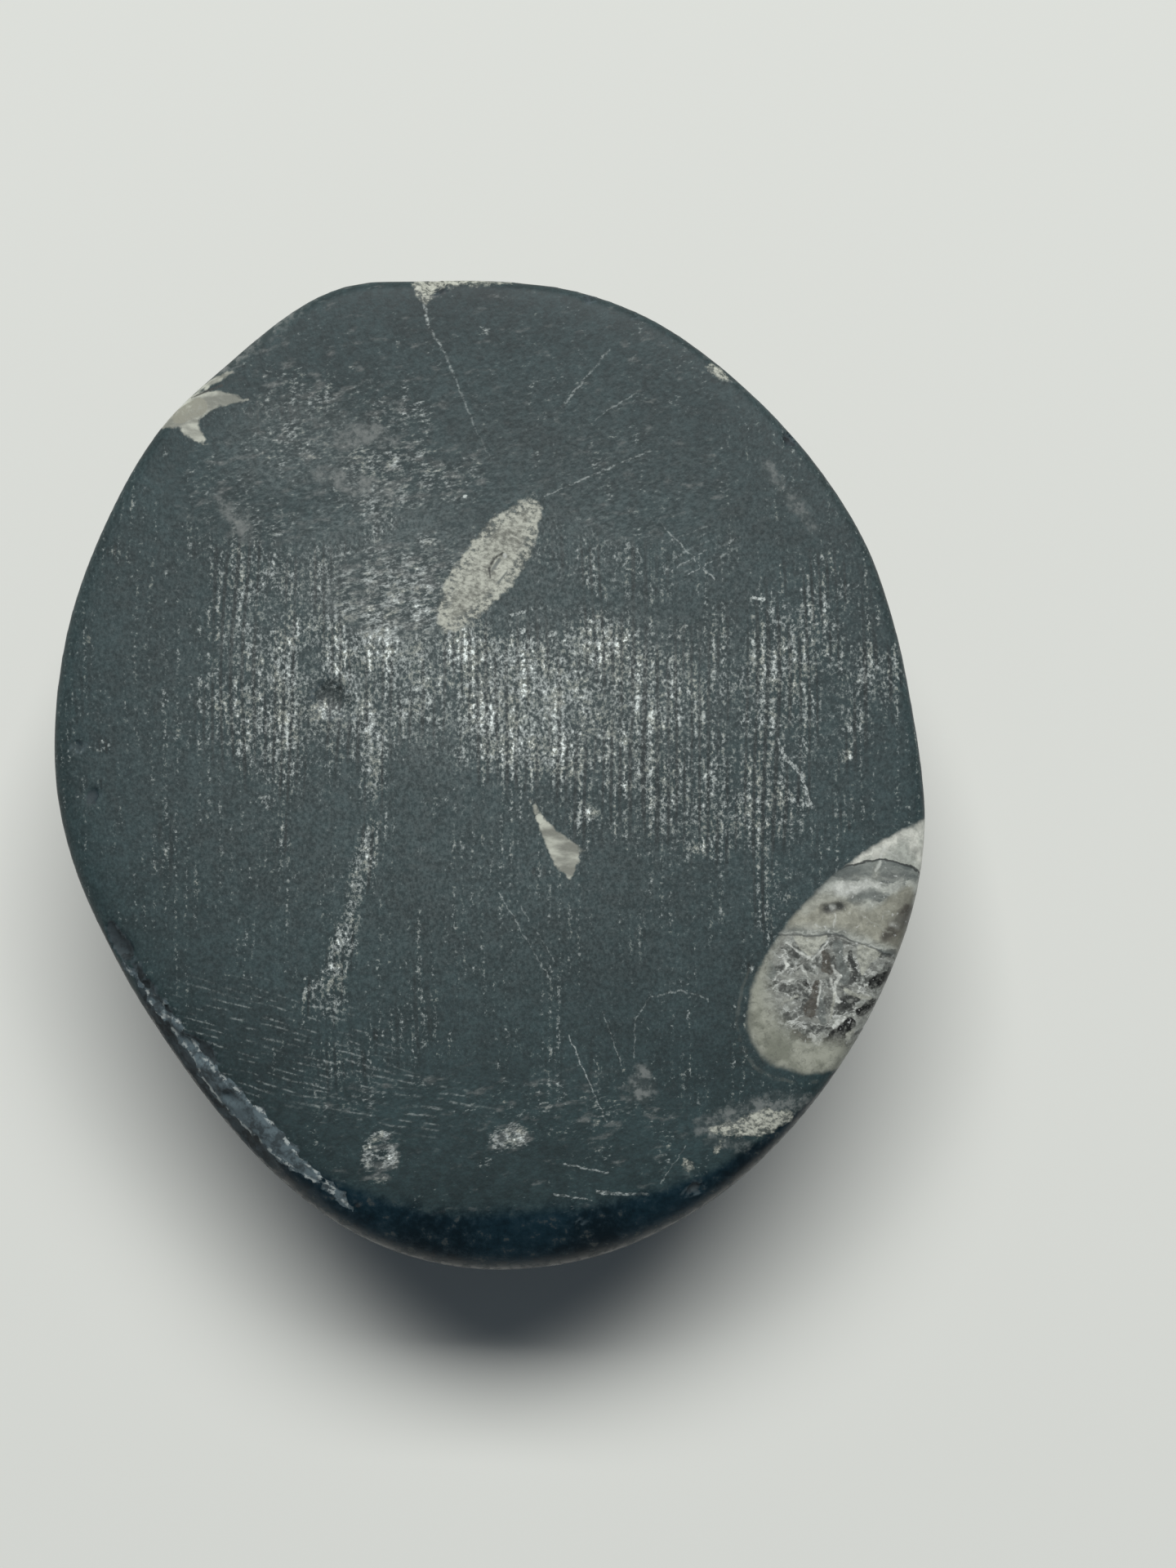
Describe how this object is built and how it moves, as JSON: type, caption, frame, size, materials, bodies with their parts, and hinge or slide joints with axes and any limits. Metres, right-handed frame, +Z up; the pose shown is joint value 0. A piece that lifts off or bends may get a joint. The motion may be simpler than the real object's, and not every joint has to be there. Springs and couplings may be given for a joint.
{
  "type": "orthoceras fossil stone",
  "caption": "Hand-size rounded piece of black fossil limestone, sawn flat on one side and ground to a polished dome on the other.",
  "frame": {"origin": "middle of the bounding box's base, on the surface that the stone lies on, under the middle of the sawn face", "axes": "+Y along the stone's length, +X across its width, +Z up out of the sawn face"},
  "size_m": [0.0792, 0.0904, 0.028],
  "materials": {
    "black_limestone": "sawn and matt on the flat face with pale saw marks and flush white calcite fossils, rough blue-grey breaks along the rim, polished on the dome"
  },
  "bodies": {
    "root": {"fossil_stone": "black_limestone"}
  },
  "joints": []
}
